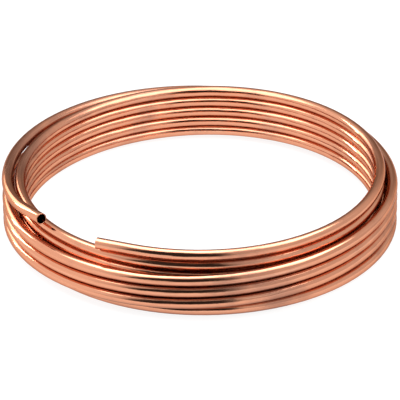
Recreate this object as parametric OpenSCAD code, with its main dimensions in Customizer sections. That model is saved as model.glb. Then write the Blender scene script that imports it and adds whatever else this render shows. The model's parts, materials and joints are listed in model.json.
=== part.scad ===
// A coil of soft copper tube: one length of hollow tube, wound down an inner column
// of turns, out along the floor, and back up an outer column until it crosses over
// the top. Z = 0 is the floor that the coil lies on, and the Z axis is its middle.
// Each half turn runs between two crossings of the plane y = 0, where the tube
// always points straight along Y, so the half turns meet in line.

/* [Tube] */
// Outside diameter of the tube
tube_od = 10; // [8:0.5:14]
// Thickness of the tube wall
tube_wall = 0.7; // [0.5:0.1:1.5]

/* [Coil] */
// Clear hole through the middle of the coil, across
hole_d = 314; // [240:1:500]
// Turns in the inner column, one more than in the outer
inner_turns = 5; // [3:1:8]
// Clear space between one turn and the next, up the inner column
inner_slack = 0.35; // [0.3:0.05:2]
// Clear space between one turn and the next, up the outer column
outer_slack = 1; // [0.6:0.1:3]
// Clear space between the inner and outer columns
column_gap = 1.2; // [1.2:0.1:3]
// Clear space from the turn that crosses over on the floor to those above it
crossing_gap = 0.3; // [0.1:0.05:0.4]
// How far the turn that crosses over has already moved out where it starts
crossing_start = 1.5; // [1:0.1:1.5]
// How far the outer column is sprung up off the turn on the floor, on the right
outer_lift = 3; // [0:0.1:3]

/* [Starting end, on top of the inner column] */
// Angle from the left side to where the tube starts to bend
start_angle = 69.3903; // [30:0.0001:90]
// Straight length of tube before that
start_straight = 32; // [15:1:60]
// How far the first turn stands up off the turn below it, at the left side
start_lift = 1; // [0.8:0.1:4]
// How far the first turn lies outside the turn below it, at the left side
start_out = 3; // [0:0.5:5]

/* [Finishing end, across the top of the coil] */
// How far the last turn stands above the inner column on the left side
cross_rise = 2.5; // [1:0.5:8]
// Radius of the bend that brings the end in over the inner column
end_bend_r = 150; // [100:1:160]
// Angle of that bend
end_bend = 32.5204; // [20:0.0001:36]
// Slope at which the bend climbs as it comes in
end_slope = 15; // [8:0.5:17]
// Straight length of tube after the bend
end_straight = 24; // [15:1:40]

/* [Hidden] */
$fn = 48;
tube_id = tube_od - 2 * tube_wall;
column_step = tube_od + column_gap;
inner_pitch = tube_od + inner_slack;
outer_pitch = tube_od + outer_slack;
inner_r = (hole_d + tube_od) / 2;
outer_r = inner_r + column_step;
floor_z = tube_od / 2;
last_inner = 2 * inner_turns;
last_outer = 2 * (inner_turns - 1) - 1;

// The turns of either column pass over the one that crosses from column to column
// on the floor, which lies `out` outside them at the crossing that they start from,
// and `move` further out (or in) at the next. Where the first of those crossings is
// `rise` up from the floor turn, this is how far up the next stands to stay clear.
function far_rise(rise, out, move) =
    let (clear = tube_od + crossing_gap)
    rise - move * (rise * out + clear * sqrt(rise * rise + out * out - clear * clear))
        / (clear * clear - out * out);

inner_far = far_rise(inner_pitch, crossing_start, column_step - crossing_start);
outer_far = far_rise(outer_pitch + outer_lift, 0, column_step - crossing_start);

// Crossing k of the inner column, counted up from the floor: even on the left
function inner_crossing(k) = k == 0 ? [-inner_r - crossing_start, floor_z]
    : k % 2 == 0 ? [-inner_r, floor_z + k / 2 * inner_pitch]
    : [inner_r, floor_z + inner_far + (k - 1) / 2 * inner_pitch];

// Crossing k of the outer column, counted up from the floor: even on the right
function outer_crossing(k) = k == 0 ? [outer_r, floor_z]
    : k % 2 == 0 ? [outer_r, floor_z + outer_lift + k / 2 * outer_pitch]
    : [-outer_r, floor_z + outer_far + (k - 1) / 2 * outer_pitch];

// The first crossing is where the starting end would reach the left side, and at
// the last one the tube leaves the outer column to cross over the top
start_crossing = inner_crossing(last_inner) + [-start_out, start_lift];
top_crossing = [-outer_r, max(inner_crossing(last_inner - 2)[1] + cross_rise, outer_crossing(last_outer)[1])];
crossings = concat(
    [start_crossing],
    [for (k = [last_inner - 1 : -1 : 0]) inner_crossing(k)],
    [for (k = [0 : last_outer - 1]) outer_crossing(k)],
    [top_crossing]);
last_length = len(crossings) - 1;

// How far past its crossing an end is drawn before it is trimmed there, and the
// reach of the cut
trim_angle = 1;
reach = 2 * outer_r;

module tube_section() {
    difference() {
        circle(d = tube_od);
        circle(d = tube_id);
    }
}

// Moves by a distance in three steps, each much finer than the one before, so that
// no rounding of a step keeps the ends of two half turns from meeting exactly
module move_by(distance) {
    coarse = [for (d = distance) round(d)];
    middle = [for (d = distance - coarse) round(d * 1e3) / 1e3];
    translate(coarse)
        translate(middle)
            translate(distance - coarse - middle)
                children();
}

// Tilts about the Y axis by an angle in two steps, for the same reason: the first
// has a cosine of six places and a sine of six figures, and the second is the rest
module tilt_by(angle) {
    cosine = round(cos(angle) * 1e6) / 1e6;
    full_sine = sqrt(1 - cosine * cosine);
    figures = pow(10, 6 - ceil(log(max(full_sine, 1e-6))));
    first = atan2(sign(angle) * round(full_sine * figures) / figures, cosine);
    rotate([0, angle - first, 0])
        rotate([0, first, 0])
            children();
}

// A bend of the tube about the Z axis, anticlockwise from `from` through `sweep`
module bend(radius, from, sweep) {
    rotate_extrude(angle = sweep, start = from)
        move_by([radius, 0])
            tube_section();
}

// A straight length of tube that meets a bend about the Z axis on the X axis
module straight(radius, length) {
    move_by([radius, 0, 0])
        rotate([90, 0, 0])
            linear_extrude(length)
                tube_section();
}

// Cuts what is drawn off at the plane y = 0, where the next half turn carries on
module trimmed_at_crossing() {
    intersection() {
        children();
        translate([-reach, -reach, -reach])
            cube([2 * reach, reach, 2 * reach]);
    }
}

// The plane of the half turn from crossing a to crossing b, centred between them
module turn_plane(a, b) {
    move_by([(a[0] + b[0]) / 2, 0, (a[1] + b[1]) / 2])
        tilt_by(-atan((b[1] - a[1]) / (b[0] - a[0])))
            children();
}

module half_turn(a, b) {
    turn_plane(a, b)
        bend(norm(b - a) / 2, b[0] > a[0] ? 180 : 0, 180);
}

// The first half turn starts part of the way round, with the straight starting end
module starting_end(a, b) {
    radius = norm(b - a) / 2;
    turn_plane(a, b)
        trimmed_at_crossing()
            rotate([0, 0, 180 + start_angle]) {
                straight(radius, start_straight);
                bend(radius, 0, 180 - start_angle + trim_angle);
            }
}

// The bend that climbs in over the inner column, and the straight finishing end
module finishing_end(a) {
    move_by([a[0], 0, a[1]])
        tilt_by(-end_slope)
            translate([end_bend_r, 0, 0])
                trimmed_at_crossing()
                    rotate([0, 0, 180 + end_bend])
                        mirror([0, 1, 0]) {
                            straight(end_bend_r, end_straight);
                            bend(end_bend_r, 0, end_bend + trim_angle);
                        }
}

// Length k of the tube, from crossing k to crossing k + 1
module tube_length(k) {
    if (k == 0)
        starting_end(crossings[0], crossings[1]);
    else if (k == last_length)
        finishing_end(crossings[k]);
    else
        half_turn(crossings[k], crossings[k + 1]);
}

// The tube from length `first` to length `last`, joined two stretches at a time
module joined_lengths(first, last) {
    middle = floor((first + last) / 2);
    if (first == last)
        tube_length(first);
    else {
        joined_lengths(first, middle);
        joined_lengths(middle + 1, last);
    }
}

module copper_tube() {
    color("#c8754f")
        joined_lengths(0, last_length);
}

copper_tube();
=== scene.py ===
"""The looks of a coil of soft copper tube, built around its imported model."""

import json
import math

import bpy
import numpy as np
from mathutils import Matrix, Quaternion, Vector


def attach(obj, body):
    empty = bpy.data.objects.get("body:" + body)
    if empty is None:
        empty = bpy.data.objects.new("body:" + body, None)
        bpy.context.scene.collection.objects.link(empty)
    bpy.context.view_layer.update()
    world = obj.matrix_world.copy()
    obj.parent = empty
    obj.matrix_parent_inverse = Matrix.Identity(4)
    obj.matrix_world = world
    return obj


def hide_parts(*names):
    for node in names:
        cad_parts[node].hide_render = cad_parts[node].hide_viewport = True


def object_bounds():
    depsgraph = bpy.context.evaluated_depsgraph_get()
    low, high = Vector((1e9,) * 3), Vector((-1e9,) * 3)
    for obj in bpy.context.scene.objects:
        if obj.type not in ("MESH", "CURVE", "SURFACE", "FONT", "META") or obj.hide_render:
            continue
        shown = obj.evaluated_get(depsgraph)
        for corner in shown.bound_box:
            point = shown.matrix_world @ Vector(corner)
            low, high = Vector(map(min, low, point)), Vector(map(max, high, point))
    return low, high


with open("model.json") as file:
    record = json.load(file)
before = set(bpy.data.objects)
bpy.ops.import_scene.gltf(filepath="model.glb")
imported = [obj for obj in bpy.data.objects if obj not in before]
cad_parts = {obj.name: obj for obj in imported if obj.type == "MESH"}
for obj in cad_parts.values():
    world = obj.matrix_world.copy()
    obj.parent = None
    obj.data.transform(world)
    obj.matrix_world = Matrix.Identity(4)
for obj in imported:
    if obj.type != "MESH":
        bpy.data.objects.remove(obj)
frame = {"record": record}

CAD_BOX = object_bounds()
CAD_NODE = "copper_tube"
TUBE_RADIUS = frame["record"]["mounts"][0]["dims"]["r_mm"] / 1000
COIL_RADIUS = CAD_BOX[1][0]

MERGE_DISTANCE = 1e-6  # metres between two corners that are one
STRAY_LIMIT = 1e-4  # metres that a corner may lie off the tube's surface
ANGLE_MARGIN = 0.01  # radians that a corner may lie before the start of its bend
LEAST_RINGS = 4  # rings in the shortest bend
RIM_SHARE = 0.42  # how much of the wall each rounded edge of a cut end takes
RIM_ANGLE = math.radians(60)  # edges sharper than this are the rims of the cut ends
SMOOTH_ANGLE = math.radians(40)
SENSOR = 36  # millimetres across the camera's sensor
AIM = Vector((0, 0, 0.0206))
FLOOR_SIZE = 8
LIGHTS = (  # name, place, width, height, radiance; each faces the coil
    ("canopy", (0.0, -0.05, 0.43), 0.75, 0.40, 2.5),
    ("overhead", (0.0, 0.31, 1.4), 2.2, 0.65, 1.8),
    ("left_strip", (-1.57, 1.02, 0.7), 0.15, 1.0, 15.0),
    ("left_softbox", (-1.27, 1.41, 0.7), 0.7, 0.8, 2.5))

bl_info = {
    "name": "Copper Tube Coil",
    "version": (1, 0, 0),
    "blender": (4, 5, 0),
    "location": "View3D > Sidebar > Tube Coil",
    "description": "Winds a coil of soft copper tube and gives it a drawn, bright finish",
    "category": "Object",
}


# ---------------------------------------------------------------- settings


class CoilSizes(bpy.types.PropertyGroup):
    """The tube and the way it is wound."""

    tube_radius: bpy.props.FloatProperty(
        name="Tube radius", description="Outside radius of the tube",
        default=TUBE_RADIUS, min=0.002, max=0.02, unit="LENGTH", subtype="DISTANCE")
    tube_wall: bpy.props.FloatProperty(
        name="Wall", description="Thickness of the tube wall",
        default=0.0007, min=0.0003, max=0.002, unit="LENGTH", subtype="DISTANCE")
    coil_radius: bpy.props.FloatProperty(
        name="Coil radius", description="Outside radius of the outer column",
        default=COIL_RADIUS, min=0.1, max=0.4, unit="LENGTH", subtype="DISTANCE")
    inner_turns: bpy.props.IntProperty(
        name="Inner turns", description="Turns in the inner column, one more than in the outer",
        default=5, min=3, max=8)
    inner_slack: bpy.props.FloatProperty(
        name="Inner slack", description="Clear space between turns up the inner column",
        default=0.00035, min=0.0003, max=0.002, unit="LENGTH", subtype="DISTANCE")
    outer_slack: bpy.props.FloatProperty(
        name="Outer slack", description="Clear space between turns up the outer column",
        default=0.001, min=0.0006, max=0.003, unit="LENGTH", subtype="DISTANCE")
    column_gap: bpy.props.FloatProperty(
        name="Column gap", description="Clear space between the inner and outer columns",
        default=0.0012, min=0.001, max=0.003, unit="LENGTH", subtype="DISTANCE")
    crossing_gap: bpy.props.FloatProperty(
        name="Crossing gap",
        description="Clear space from the turn that crosses on the floor to the others",
        default=0.0003, min=0.0001, max=0.0004, unit="LENGTH", subtype="DISTANCE")
    crossing_start: bpy.props.FloatProperty(
        name="Crossing start",
        description="How far that turn has already moved out where it starts",
        default=0.0015, min=0.001, max=0.0015, unit="LENGTH", subtype="DISTANCE")
    outer_lift: bpy.props.FloatProperty(
        name="Outer lift",
        description="How far the outer column is sprung up off the floor turn, on the right",
        default=0.003, min=0, max=0.003, unit="LENGTH", subtype="DISTANCE")
    start_angle: bpy.props.FloatProperty(
        name="Start angle", description="Angle from the left side to where the tube starts to bend",
        default=math.radians(69.3903), min=0.5, max=1.6, unit="ROTATION", subtype="ANGLE")
    start_straight: bpy.props.FloatProperty(
        name="Start straight", description="Straight length of the starting end",
        default=0.032, min=0.015, max=0.06, unit="LENGTH", subtype="DISTANCE")
    start_lift: bpy.props.FloatProperty(
        name="Start lift", description="How far the first turn stands up off the turn below it",
        default=0.001, min=0.0008, max=0.004, unit="LENGTH", subtype="DISTANCE")
    start_out: bpy.props.FloatProperty(
        name="Start outward", description="How far the first turn lies outside the turn below it",
        default=0.003, min=0, max=0.005, unit="LENGTH", subtype="DISTANCE")
    cross_rise: bpy.props.FloatProperty(
        name="Crossing rise", description="How far the last turn stands above the inner column",
        default=0.0025, min=0.001, max=0.008, unit="LENGTH", subtype="DISTANCE")
    end_bend_radius: bpy.props.FloatProperty(
        name="End bend radius", description="Radius of the bend that brings the finishing end in",
        default=0.15, min=0.1, max=0.16, unit="LENGTH", subtype="DISTANCE")
    end_bend: bpy.props.FloatProperty(
        name="End bend", description="Angle of the bend that brings the finishing end in",
        default=math.radians(32.5204), min=0.35, max=0.63, unit="ROTATION", subtype="ANGLE")
    end_slope: bpy.props.FloatProperty(
        name="End slope", description="Slope at which the finishing end climbs as it comes in",
        default=math.radians(15), min=0.14, max=0.3, unit="ROTATION", subtype="ANGLE")
    end_straight: bpy.props.FloatProperty(
        name="End straight", description="Straight length of the finishing end",
        default=0.024, min=0.015, max=0.04, unit="LENGTH", subtype="DISTANCE")
    sides: bpy.props.IntProperty(
        name="Sides", description="Flats round the tube, before smoothing",
        default=32, min=12, max=48)
    steps: bpy.props.IntProperty(
        name="Steps", description="Rings in each half turn", default=54, min=16, max=90)


class CopperFinish(bpy.types.PropertyGroup):
    """The drawn copper surface."""

    copper: bpy.props.FloatVectorProperty(
        name="Copper", description="Clean copper", subtype="COLOR", size=3,
        default=(0.72, 0.315, 0.19), min=0, max=1)
    # this brown is real tarnish, and also painted shade on the undersides of the turns in front and
    # on the top turns at the back
    tarnish_and_shade: bpy.props.FloatVectorProperty(
        name="Tarnish", description="Copper that has begun to go brown", subtype="COLOR", size=3,
        default=(0.34, 0.17, 0.125), min=0, max=1)
    worn: bpy.props.FloatVectorProperty(
        name="Worn", description="Copper rubbed paler by handling", subtype="COLOR", size=3,
        default=(0.86, 0.46, 0.31), min=0, max=1)
    spots: bpy.props.FloatVectorProperty(
        name="Spots", description="Small dull marks", subtype="COLOR", size=3,
        default=(0.52, 0.20, 0.12), min=0, max=1)
    edge: bpy.props.FloatVectorProperty(
        name="Edge", description="Tint of the metal where it is seen edge on",
        subtype="COLOR", size=3, default=(0.55, 0.42, 0.38), min=0, max=1)
    roughness: bpy.props.FloatProperty(
        name="Roughness", description="Roughness of the clean metal", subtype="FACTOR",
        default=0.11, min=0, max=1)
    grain: bpy.props.FloatProperty(
        name="Grain", description="How far the lines along the tube spread a highlight round it",
        subtype="FACTOR", default=0.7, min=0, max=1)


class StageLook(bpy.types.PropertyGroup):
    """The floor, the camera and the lights."""

    floor: bpy.props.FloatVectorProperty(
        name="Floor", description="Pale floor under the coil", subtype="COLOR", size=3,
        default=(0.18, 0.18, 0.18), min=0, max=1)
    floor_glow: bpy.props.FloatProperty(
        name="Floor glow", description="Light that comes up through the floor",
        default=0.88, min=0, max=2)
    room: bpy.props.FloatProperty(
        name="Room", description="How bright the room around the stage is",
        default=0.82, min=0, max=3)
    elevation: bpy.props.FloatProperty(
        name="Elevation", description="Angle of the camera above the horizon",
        default=math.radians(28.5), min=0, max=1.5, unit="ROTATION", subtype="ANGLE")
    roll: bpy.props.FloatProperty(
        name="Roll", description="How far the camera leans to one side",
        default=math.radians(-0.6), min=-0.2, max=0.2, unit="ROTATION", subtype="ANGLE")
    distance: bpy.props.FloatProperty(
        name="Distance", description="From the camera to the middle of the coil",
        default=2.727, min=1, max=6, unit="LENGTH", subtype="DISTANCE")
    lens: bpy.props.FloatProperty(
        name="Lens", description="Focal length of the camera, in millimetres",
        default=271.2, min=50, max=400)


# ---------------------------------------------------------------- shader nodes


class Wire:
    """A node's output that can be used in ordinary arithmetic."""

    def __init__(self, shader, socket):
        self.shader = shader
        self.socket = socket

    def __add__(self, other):
        return self.shader.calculate("ADD", self, other)

    def __sub__(self, other):
        return self.shader.calculate("SUBTRACT", self, other)

    def __rsub__(self, other):
        return self.shader.calculate("SUBTRACT", other, self)

    def __mul__(self, other):
        return self.shader.calculate("MULTIPLY", self, other)

    __radd__ = __add__
    __rmul__ = __mul__


class Shader:
    """The nodes of one finish, or of the room around the stage."""

    def __init__(self, owner, surface="Principled BSDF"):
        owner.use_nodes = True
        self.owner = owner
        self.tree = owner.node_tree
        self.surface = self.tree.nodes[surface]

    def node(self, kind, settings=None, inputs=None, output=0):
        """Adds a node: its settings first, then the values or wires of its sockets."""
        made = self.tree.nodes.new(kind)
        for name, value in (settings or {}).items():
            setattr(made, name, value)
        for key, value in (inputs or {}).items():
            self.feed(made.inputs[key], value)
        return Wire(self, made.outputs[output])

    def feed(self, socket, value):
        if isinstance(value, Wire):
            self.tree.links.new(value.socket, socket)
        else:
            socket.default_value = value

    def finish(self, **inputs):
        for name, value in inputs.items():
            self.feed(self.surface.inputs[name.replace("_", " ").title()], value)
        return self.owner

    def calculate(self, operation, *values):
        return self.node("ShaderNodeMath", {"operation": operation}, dict(enumerate(values)))

    def noise(self, vector, scale, detail=2.0, roughness=0.5):
        return self.node("ShaderNodeTexNoise", None,
                         {"Vector": vector, "Scale": scale, "Detail": detail,
                          "Roughness": roughness})

    def band(self, value, low, high):
        """0 below low, 1 above high, smooth between."""
        return self.node("ShaderNodeMapRange", {"interpolation_type": "SMOOTHSTEP"},
                         {"Value": value, "From Min": low, "From Max": high})

    def blend(self, factor, first, second):
        """The first colour where factor is 0, the second where it is 1."""
        first, second = (c if isinstance(c, Wire) else (*c, 1) for c in (first, second))
        return self.node("ShaderNodeMix", {"data_type": "RGBA"},
                         {"Factor": factor, 6: first, 7: second}, output=2)

    def split(self, vector):
        """The three parts of a vector."""
        return [self.node("ShaderNodeSeparateXYZ", None, {0: vector}, output=k) for k in range(3)]

    def bump(self, height, strength, distance, normal=None):
        inputs = {"Strength": strength, "Distance": distance, "Height": height}
        if normal:
            inputs["Normal"] = normal
        return self.node("ShaderNodeBump", None, inputs)


# ---------------------------------------------------------------- the tube's path


class Stretch:
    """One bend of the tube: an arc of `sweep` about `centre`, from the direction `begin`."""

    def __init__(self, centre, radius, slope, begin, sweep):
        self.centre = centre
        self.radius = radius
        self.across = Vector((math.cos(slope), 0, math.sin(slope)))
        self.axis = Vector((-math.sin(slope), 0, math.cos(slope)))
        self.begin = begin
        self.sweep = sweep

    def outward(self, angle):
        return math.cos(angle) * self.across + math.sin(angle) * Vector((0, 1, 0))

    def along(self, angle):
        return math.cos(angle) * Vector((0, 1, 0)) - math.sin(angle) * self.across

    def point(self, angle):
        return self.centre + self.radius * self.outward(angle)


def far_rise(rise, out, move, clear):
    """How far a column's turn stands up, at its far crossing, off the turn on the floor.

    The turn on the floor crosses from column to column. It lies `out` outside the other and
    `rise` below it at the near crossing, and has moved on by `move` at the far one; `clear`
    is the least distance between the two.
    """
    reach = rise * out + clear * math.sqrt(rise ** 2 + out ** 2 - clear ** 2)
    return rise - move * reach / (clear ** 2 - out ** 2)


def column_crossings(radius, pitch, near, far, count, floor):
    """Where a column crosses the plane y = 0, from the floor up.

    It starts on the floor at the side of `radius`; the later crossings of that side stand
    `near` higher than their share of the pitch, and those of the other side `far` higher.
    """
    lifts = [0, far, *(near if k % 2 == 0 else far for k in range(2, count))]
    return [Vector((-radius if k % 2 else radius, 0, floor + pitch * (k // 2) + lifts[k]))
            for k in range(count)]


def tube_path(sizes):
    """The stretches of the tube, from its starting end to its finishing end."""
    floor, width = sizes.tube_radius, 2 * sizes.tube_radius
    clear = width + sizes.crossing_gap
    step = width + sizes.column_gap
    outer = sizes.coil_radius - sizes.tube_radius
    inner = outer - step
    move = step - sizes.crossing_start
    pitch = width + sizes.inner_slack
    down = column_crossings(-inner, pitch, 0, far_rise(pitch, sizes.crossing_start, move, clear),
                            2 * sizes.inner_turns + 1, floor)
    down[0].x -= sizes.crossing_start
    pitch = width + sizes.outer_slack
    lift = sizes.outer_lift
    up = column_crossings(outer, pitch, lift, far_rise(pitch + lift, 0, move, clear),
                          2 * sizes.inner_turns - 2, floor)
    top = Vector((-outer, 0, max(down[-3].z + sizes.cross_rise, up[-1].z)))
    down[-1] += Vector((-sizes.start_out, 0, sizes.start_lift))
    crossings = [*reversed(down), *up[:-1], top]
    path = []
    for a, b in zip(crossings, crossings[1:]):
        turn = b - a
        slope = math.atan(turn.z / turn.x)
        path.append(Stretch((a + b) / 2, turn.length / 2, slope,
                            math.pi if turn.x > 0 else 0, math.pi))
    path[0].begin += sizes.start_angle
    path[0].sweep -= sizes.start_angle
    climb = Vector((math.cos(sizes.end_slope), 0, math.sin(sizes.end_slope)))
    path.append(Stretch(top + sizes.end_bend_radius * climb, sizes.end_bend_radius, sizes.end_slope,
                        math.pi, sizes.end_bend))
    return path


# ---------------------------------------------------------------- modelling helpers


def deselect_all():
    bpy.ops.object.select_all(action="DESELECT")


def edit(piece):
    deselect_all()
    piece.select_set(True)
    bpy.context.view_layer.objects.active = piece
    bpy.ops.object.mode_set(mode="EDIT")


def leave_edit():
    bpy.ops.object.mode_set(mode="OBJECT")


def positions(piece):
    co = np.empty(len(piece.data.vertices) * 3)
    piece.data.vertices.foreach_get("co", co)
    return co.reshape(-1, 3)


def map_along(piece, path, sizes):
    """Gives the piece a UV map: U in metres along the tube, V once round it from its underside."""
    co = positions(piece)
    best = np.full(len(co), np.inf)
    along = np.zeros(len(co))
    around = np.zeros(len(co))
    travelled = sizes.start_straight
    for n, stretch in enumerate(path):
        local = co - np.array(stretch.centre)
        x, y = local @ np.array(stretch.across), local[:, 1]
        up = local @ np.array(stretch.axis)
        low = sizes.start_straight / stretch.radius if n == 0 else 0
        high = sizes.end_straight / stretch.radius if n == len(path) - 1 else 0
        before = 2 * low + ANGLE_MARGIN
        angle = (np.arctan2(y, x) - stretch.begin + before) % math.tau - before
        turned = np.clip(angle, 0, stretch.sweep)
        ray = turned + stretch.begin
        out = x * np.cos(ray) + y * np.sin(ray) - stretch.radius
        past = -x * np.sin(ray) + y * np.cos(ray)
        reach = np.hypot(out, up)
        off = np.abs(reach - sizes.tube_radius)
        beyond = np.where(past < 0, -past - low * stretch.radius, past - high * stretch.radius)
        off = np.where(np.abs(past) > MERGE_DISTANCE, off + np.maximum(beyond, 0), off)
        closer = off < best
        best = np.where(closer, off, best)
        along = np.where(closer, travelled + turned * stretch.radius + past, along)
        around = np.where(closer, np.arctan2(out, -up) / math.tau % 1.0, around)
        travelled += stretch.sweep * stretch.radius
    layer = piece.data.uv_layers.new(name="along_tube")
    for face in piece.data.polygons:
        rounds = around[list(face.vertices)]
        wraps = rounds.max() - rounds.min() > 0.5
        for corner, vertex in zip(face.loop_indices, face.vertices):
            v = around[vertex]
            layer.data[corner].uv = (along[vertex], v + 1 if wraps and v < 0.5 else v)
    return best.max()


# ---------------------------------------------------------------- finishes


def copper_finish(look):
    """Drawn copper: lines and streaks along the tube, soft browned patches and small marks.

    Painted shade browns and darkens the turns on top at the back, most on the left, and the
    undersides of those in front.
    """
    shader = Shader(bpy.data.materials.new("drawn_copper"))
    along, turn, _ = shader.split(shader.node("ShaderNodeUVMap", {"uv_map": "along_tube"}))
    angle = turn * math.tau
    cosine, sine = shader.calculate("COSINE", angle), shader.calculate("SINE", angle)
    place = shader.node("ShaderNodeTexCoord", output=3)

    def stretched(length, width):
        """The surface's own coordinates, with one unit to `length` metres and `width` radii."""
        return shader.node("ShaderNodeCombineXYZ", None,
                           {0: along * (1 / length),
                            1: cosine * (1 / width), 2: sine * (1 / width)})

    lines = shader.noise(stretched(0.09, 0.045), 1.0, detail=3)
    smears = shader.noise(stretched(0.07, 0.30), 1.0, detail=4, roughness=0.6)
    fine = shader.noise(stretched(0.02, 0.02), 1.0, detail=2)
    clouds = shader.noise(place, 16.0, detail=4, roughness=0.6)
    marks = shader.noise(stretched(0.012, 0.6), 1.0, detail=3)
    waves = shader.noise(stretched(0.05, 1.2), 1.0, detail=2)
    across, depth, height = shader.split(place)
    # painted shade: the top turns at the back, most on the left, get extra tarnish colour that
    # darkens them
    painted_shade_back_tops = shader.band(height, 0.036, 0.048) * shader.band(depth, -0.02, 0.05)
    left = shader.band(across * -1, 0.05, 0.13)
    # this mask is real tarnish from the clouds and lines, plus that painted shade on the back top
    # turns
    tarnish_and_shade = shader.band(clouds + 0.45 * (lines - 0.5) + painted_shade_back_tops * (0.04 + 0.16 * left),
                          0.50, 0.74)
    # painted shade: the undersides of the turns in front are darkened and browned
    underside = (1 - shader.band(depth, -0.166, -0.143)) * shader.band(cosine, 0.10, 0.70)
    spots = shader.band(marks, 0.66, 0.76)
    pale = shader.band(smears, 0.50, 0.72)
    # the painted shade on the front undersides, in the tarnish colour
    painted_shade_undersides = shader.blend(0.9 * underside, look.copper, look.tarnish_and_shade)
    dull = shader.blend(0.65 * tarnish_and_shade, painted_shade_undersides, look.tarnish_and_shade)
    bright = shader.blend(0.5 * pale, dull, look.worn)
    colour = shader.blend(0.45 * spots, bright, look.spots)
    rough = look.roughness + 0.14 * tarnish_and_shade + 0.14 * (lines - 0.5) + 0.08 * pale + 0.10 * spots
    dents = shader.bump(waves, 0.35, 0.0012)
    streaks = shader.bump(smears, 0.5, 0.00016, dents)
    relief = shader.bump(lines + 0.3 * fine, 0.16, 0.00005, streaks)
    return shader.finish(base_color=colour, metallic=1.0, roughness=rough, normal=relief,
                         specular_tint=(*look.edge, 1), anisotropic=look.grain,
                         anisotropic_rotation=0.25)


def floor_finish(look):
    shader = Shader(bpy.data.materials.new("pale_floor"))
    place = shader.node("ShaderNodeTexCoord", output=3)
    mottle = shader.noise(place, 3.0)
    colour = shader.blend(mottle, look.floor, [0.98 * c for c in look.floor])
    return shader.finish(base_color=colour, roughness=0.9,
                         emission_color=(1, 1, 1, 1), emission_strength=look.floor_glow)


def studio_room(look):
    """A bright room, brightest to the left, dark behind the camera and dim at the far side."""
    shader = Shader(bpy.data.worlds.new("studio_room"), "Background")
    x, y, up = shader.split(shader.node("ShaderNodeTexCoord", output=0))
    around = shader.calculate("ARCTAN2", x, y * -1)
    away = shader.calculate("ABSOLUTE", around)

    def between(low, high, soft):
        """1 between two angles round from the camera's side, in degrees; the left is negative."""
        low, high, soft = math.radians(low), math.radians(high), math.radians(soft)
        return (shader.band(around, low - soft, low + soft)
                * (1 - shader.band(around, high - soft, high + soft)))

    camera_side = between(-43, 19, 6) * (1 - shader.band(up, 0.86, 0.95))
    far_side = shader.band(away, 2.2, 2.9) * (1 - shader.band(up, 0.35, 0.75))
    level = 1 + 0.4 * between(-150, -60, 15) - 0.96 * camera_side - 0.6 * far_side
    return shader.finish(color=(1, 1, 1, 1), strength=look.room * level)


# ---------------------------------------------------------------- operators


class COIL_OT_tube(bpy.types.Operator):
    """Winds the whole tube from its starting end to its finishing end"""

    bl_idname = "coil.tube"
    bl_label = "Wind the tube"

    def execute(self, context):
        sizes = context.scene.coil_sizes
        path = tube_path(sizes)
        first = path[0]
        tip = first.point(first.begin) - sizes.start_straight * first.along(first.begin)
        out, up = first.outward(first.begin), first.axis
        facing = Matrix((out, up, out.cross(up))).transposed().to_euler()
        deselect_all()
        bpy.ops.mesh.primitive_circle_add(
            vertices=sizes.sides, radius=sizes.tube_radius, fill_type="NOTHING",
            location=tip, rotation=facing)
        tube = context.active_object
        tube.name = tube.data.name = "wound_tube"
        bpy.ops.object.transform_apply(location=True, rotation=True, scale=True)
        edit(tube)
        bpy.ops.mesh.select_all(action="SELECT")
        bpy.ops.mesh.extrude_edges_move(
            TRANSFORM_OT_translate={"value": sizes.start_straight * first.along(first.begin)})
        for stretch in path:
            rings = max(LEAST_RINGS, round(sizes.steps * stretch.sweep / math.pi))
            bpy.ops.mesh.spin(steps=rings, angle=-stretch.sweep, center=stretch.centre,
                              axis=stretch.axis)
        last = path[-1]
        end_way = last.along(last.begin + last.sweep)
        bpy.ops.mesh.extrude_edges_move(
            TRANSFORM_OT_translate={"value": sizes.end_straight * end_way})
        bpy.ops.mesh.select_all(action="SELECT")
        bpy.ops.mesh.remove_doubles(threshold=MERGE_DISTANCE)
        bpy.ops.mesh.normals_make_consistent(inside=False)
        leave_edit()
        stray = map_along(tube, path, sizes)
        if stray > STRAY_LIMIT:
            raise RuntimeError(f"the tube leaves its path by {stray * 1000:.2f} mm")
        wall = tube.modifiers.new("wall", "SOLIDIFY")
        wall.thickness = sizes.tube_wall
        wall.offset = -1
        wall.use_even_offset = True
        bpy.ops.object.modifier_apply(modifier=wall.name)
        rim = tube.modifiers.new("rim", "BEVEL")
        rim.limit_method = "ANGLE"
        rim.angle_limit = RIM_ANGLE
        rim.width = RIM_SHARE * sizes.tube_wall
        rim.segments = 3
        bpy.ops.object.modifier_apply(modifier=rim.name)
        bpy.ops.object.shade_smooth_by_angle(angle=SMOOTH_ANGLE)
        tube.data.materials.append(copper_finish(context.scene.copper_finish))
        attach(tube, "root")
        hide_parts(CAD_NODE)
        return {"FINISHED"}


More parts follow.
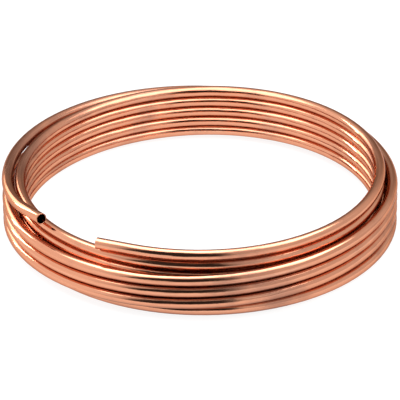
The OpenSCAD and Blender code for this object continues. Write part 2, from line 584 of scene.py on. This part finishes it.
class COIL_OT_stage(bpy.types.Operator):
    """Lays the pale floor and sets the camera and the soft studio lights"""

    bl_idname = "coil.stage"
    bl_label = "Set the stage"

    def execute(self, context):
        look = context.scene.stage_look
        deselect_all()
        bpy.ops.mesh.primitive_plane_add(size=FLOOR_SIZE)
        floor = context.active_object
        floor.name = "floor"
        floor.data.materials.append(floor_finish(look))

        back = Vector((0, -math.cos(look.elevation), math.sin(look.elevation)))
        bpy.ops.object.camera_add(location=AIM + look.distance * back)
        camera = context.active_object
        upright = (-back).to_track_quat("-Z", "Y")
        camera.rotation_euler = (upright @ Quaternion((0, 0, 1), look.roll)).to_euler()
        camera.data.lens = look.lens
        camera.data.sensor_width = SENSOR
        context.scene.camera = camera

        for name, place, width, height, radiance in LIGHTS:
            bpy.ops.object.light_add(type="AREA", location=place)
            light = context.active_object
            light.name = name
            light.rotation_euler = (-Vector(place)).to_track_quat("-Z", "Y").to_euler()
            light.data.shape = "RECTANGLE"
            light.data.size = width
            light.data.size_y = height
            light.data.energy = math.pi * width * height * radiance
        context.scene.world = studio_room(look)
        context.scene.view_settings.view_transform = "Standard"
        return {"FINISHED"}


class COIL_PT_panel(bpy.types.Panel):
    """Lists the steps and the settings"""

    bl_label = "Tube coil"
    bl_idname = "COIL_PT_panel"
    bl_space_type = "VIEW_3D"
    bl_region_type = "UI"
    bl_category = "Tube Coil"

    def draw(self, context):
        for step in STEPS:
            self.layout.operator(step.bl_idname)
        for group in GROUPS:
            settings = getattr(context.scene, GROUPS[group])
            for name in group.__annotations__:
                self.layout.prop(settings, name)


STEPS = (COIL_OT_tube, COIL_OT_stage)
GROUPS = {CoilSizes: "coil_sizes", CopperFinish: "copper_finish", StageLook: "stage_look"}


def register():
    for group, name in GROUPS.items():
        bpy.utils.register_class(group)
        setattr(bpy.types.Scene, name, bpy.props.PointerProperty(type=group))
    for cls in (*STEPS, COIL_PT_panel):
        bpy.utils.register_class(cls)


def unregister():
    for cls in (COIL_PT_panel, *STEPS):
        bpy.utils.unregister_class(cls)
    for group, name in GROUPS.items():
        delattr(bpy.types.Scene, name)
        bpy.utils.unregister_class(group)


def main():
    register()
    for step in STEPS:
        getattr(bpy.ops.coil, step.bl_idname.split(".")[1])()


if __name__ == "__main__":
    main()
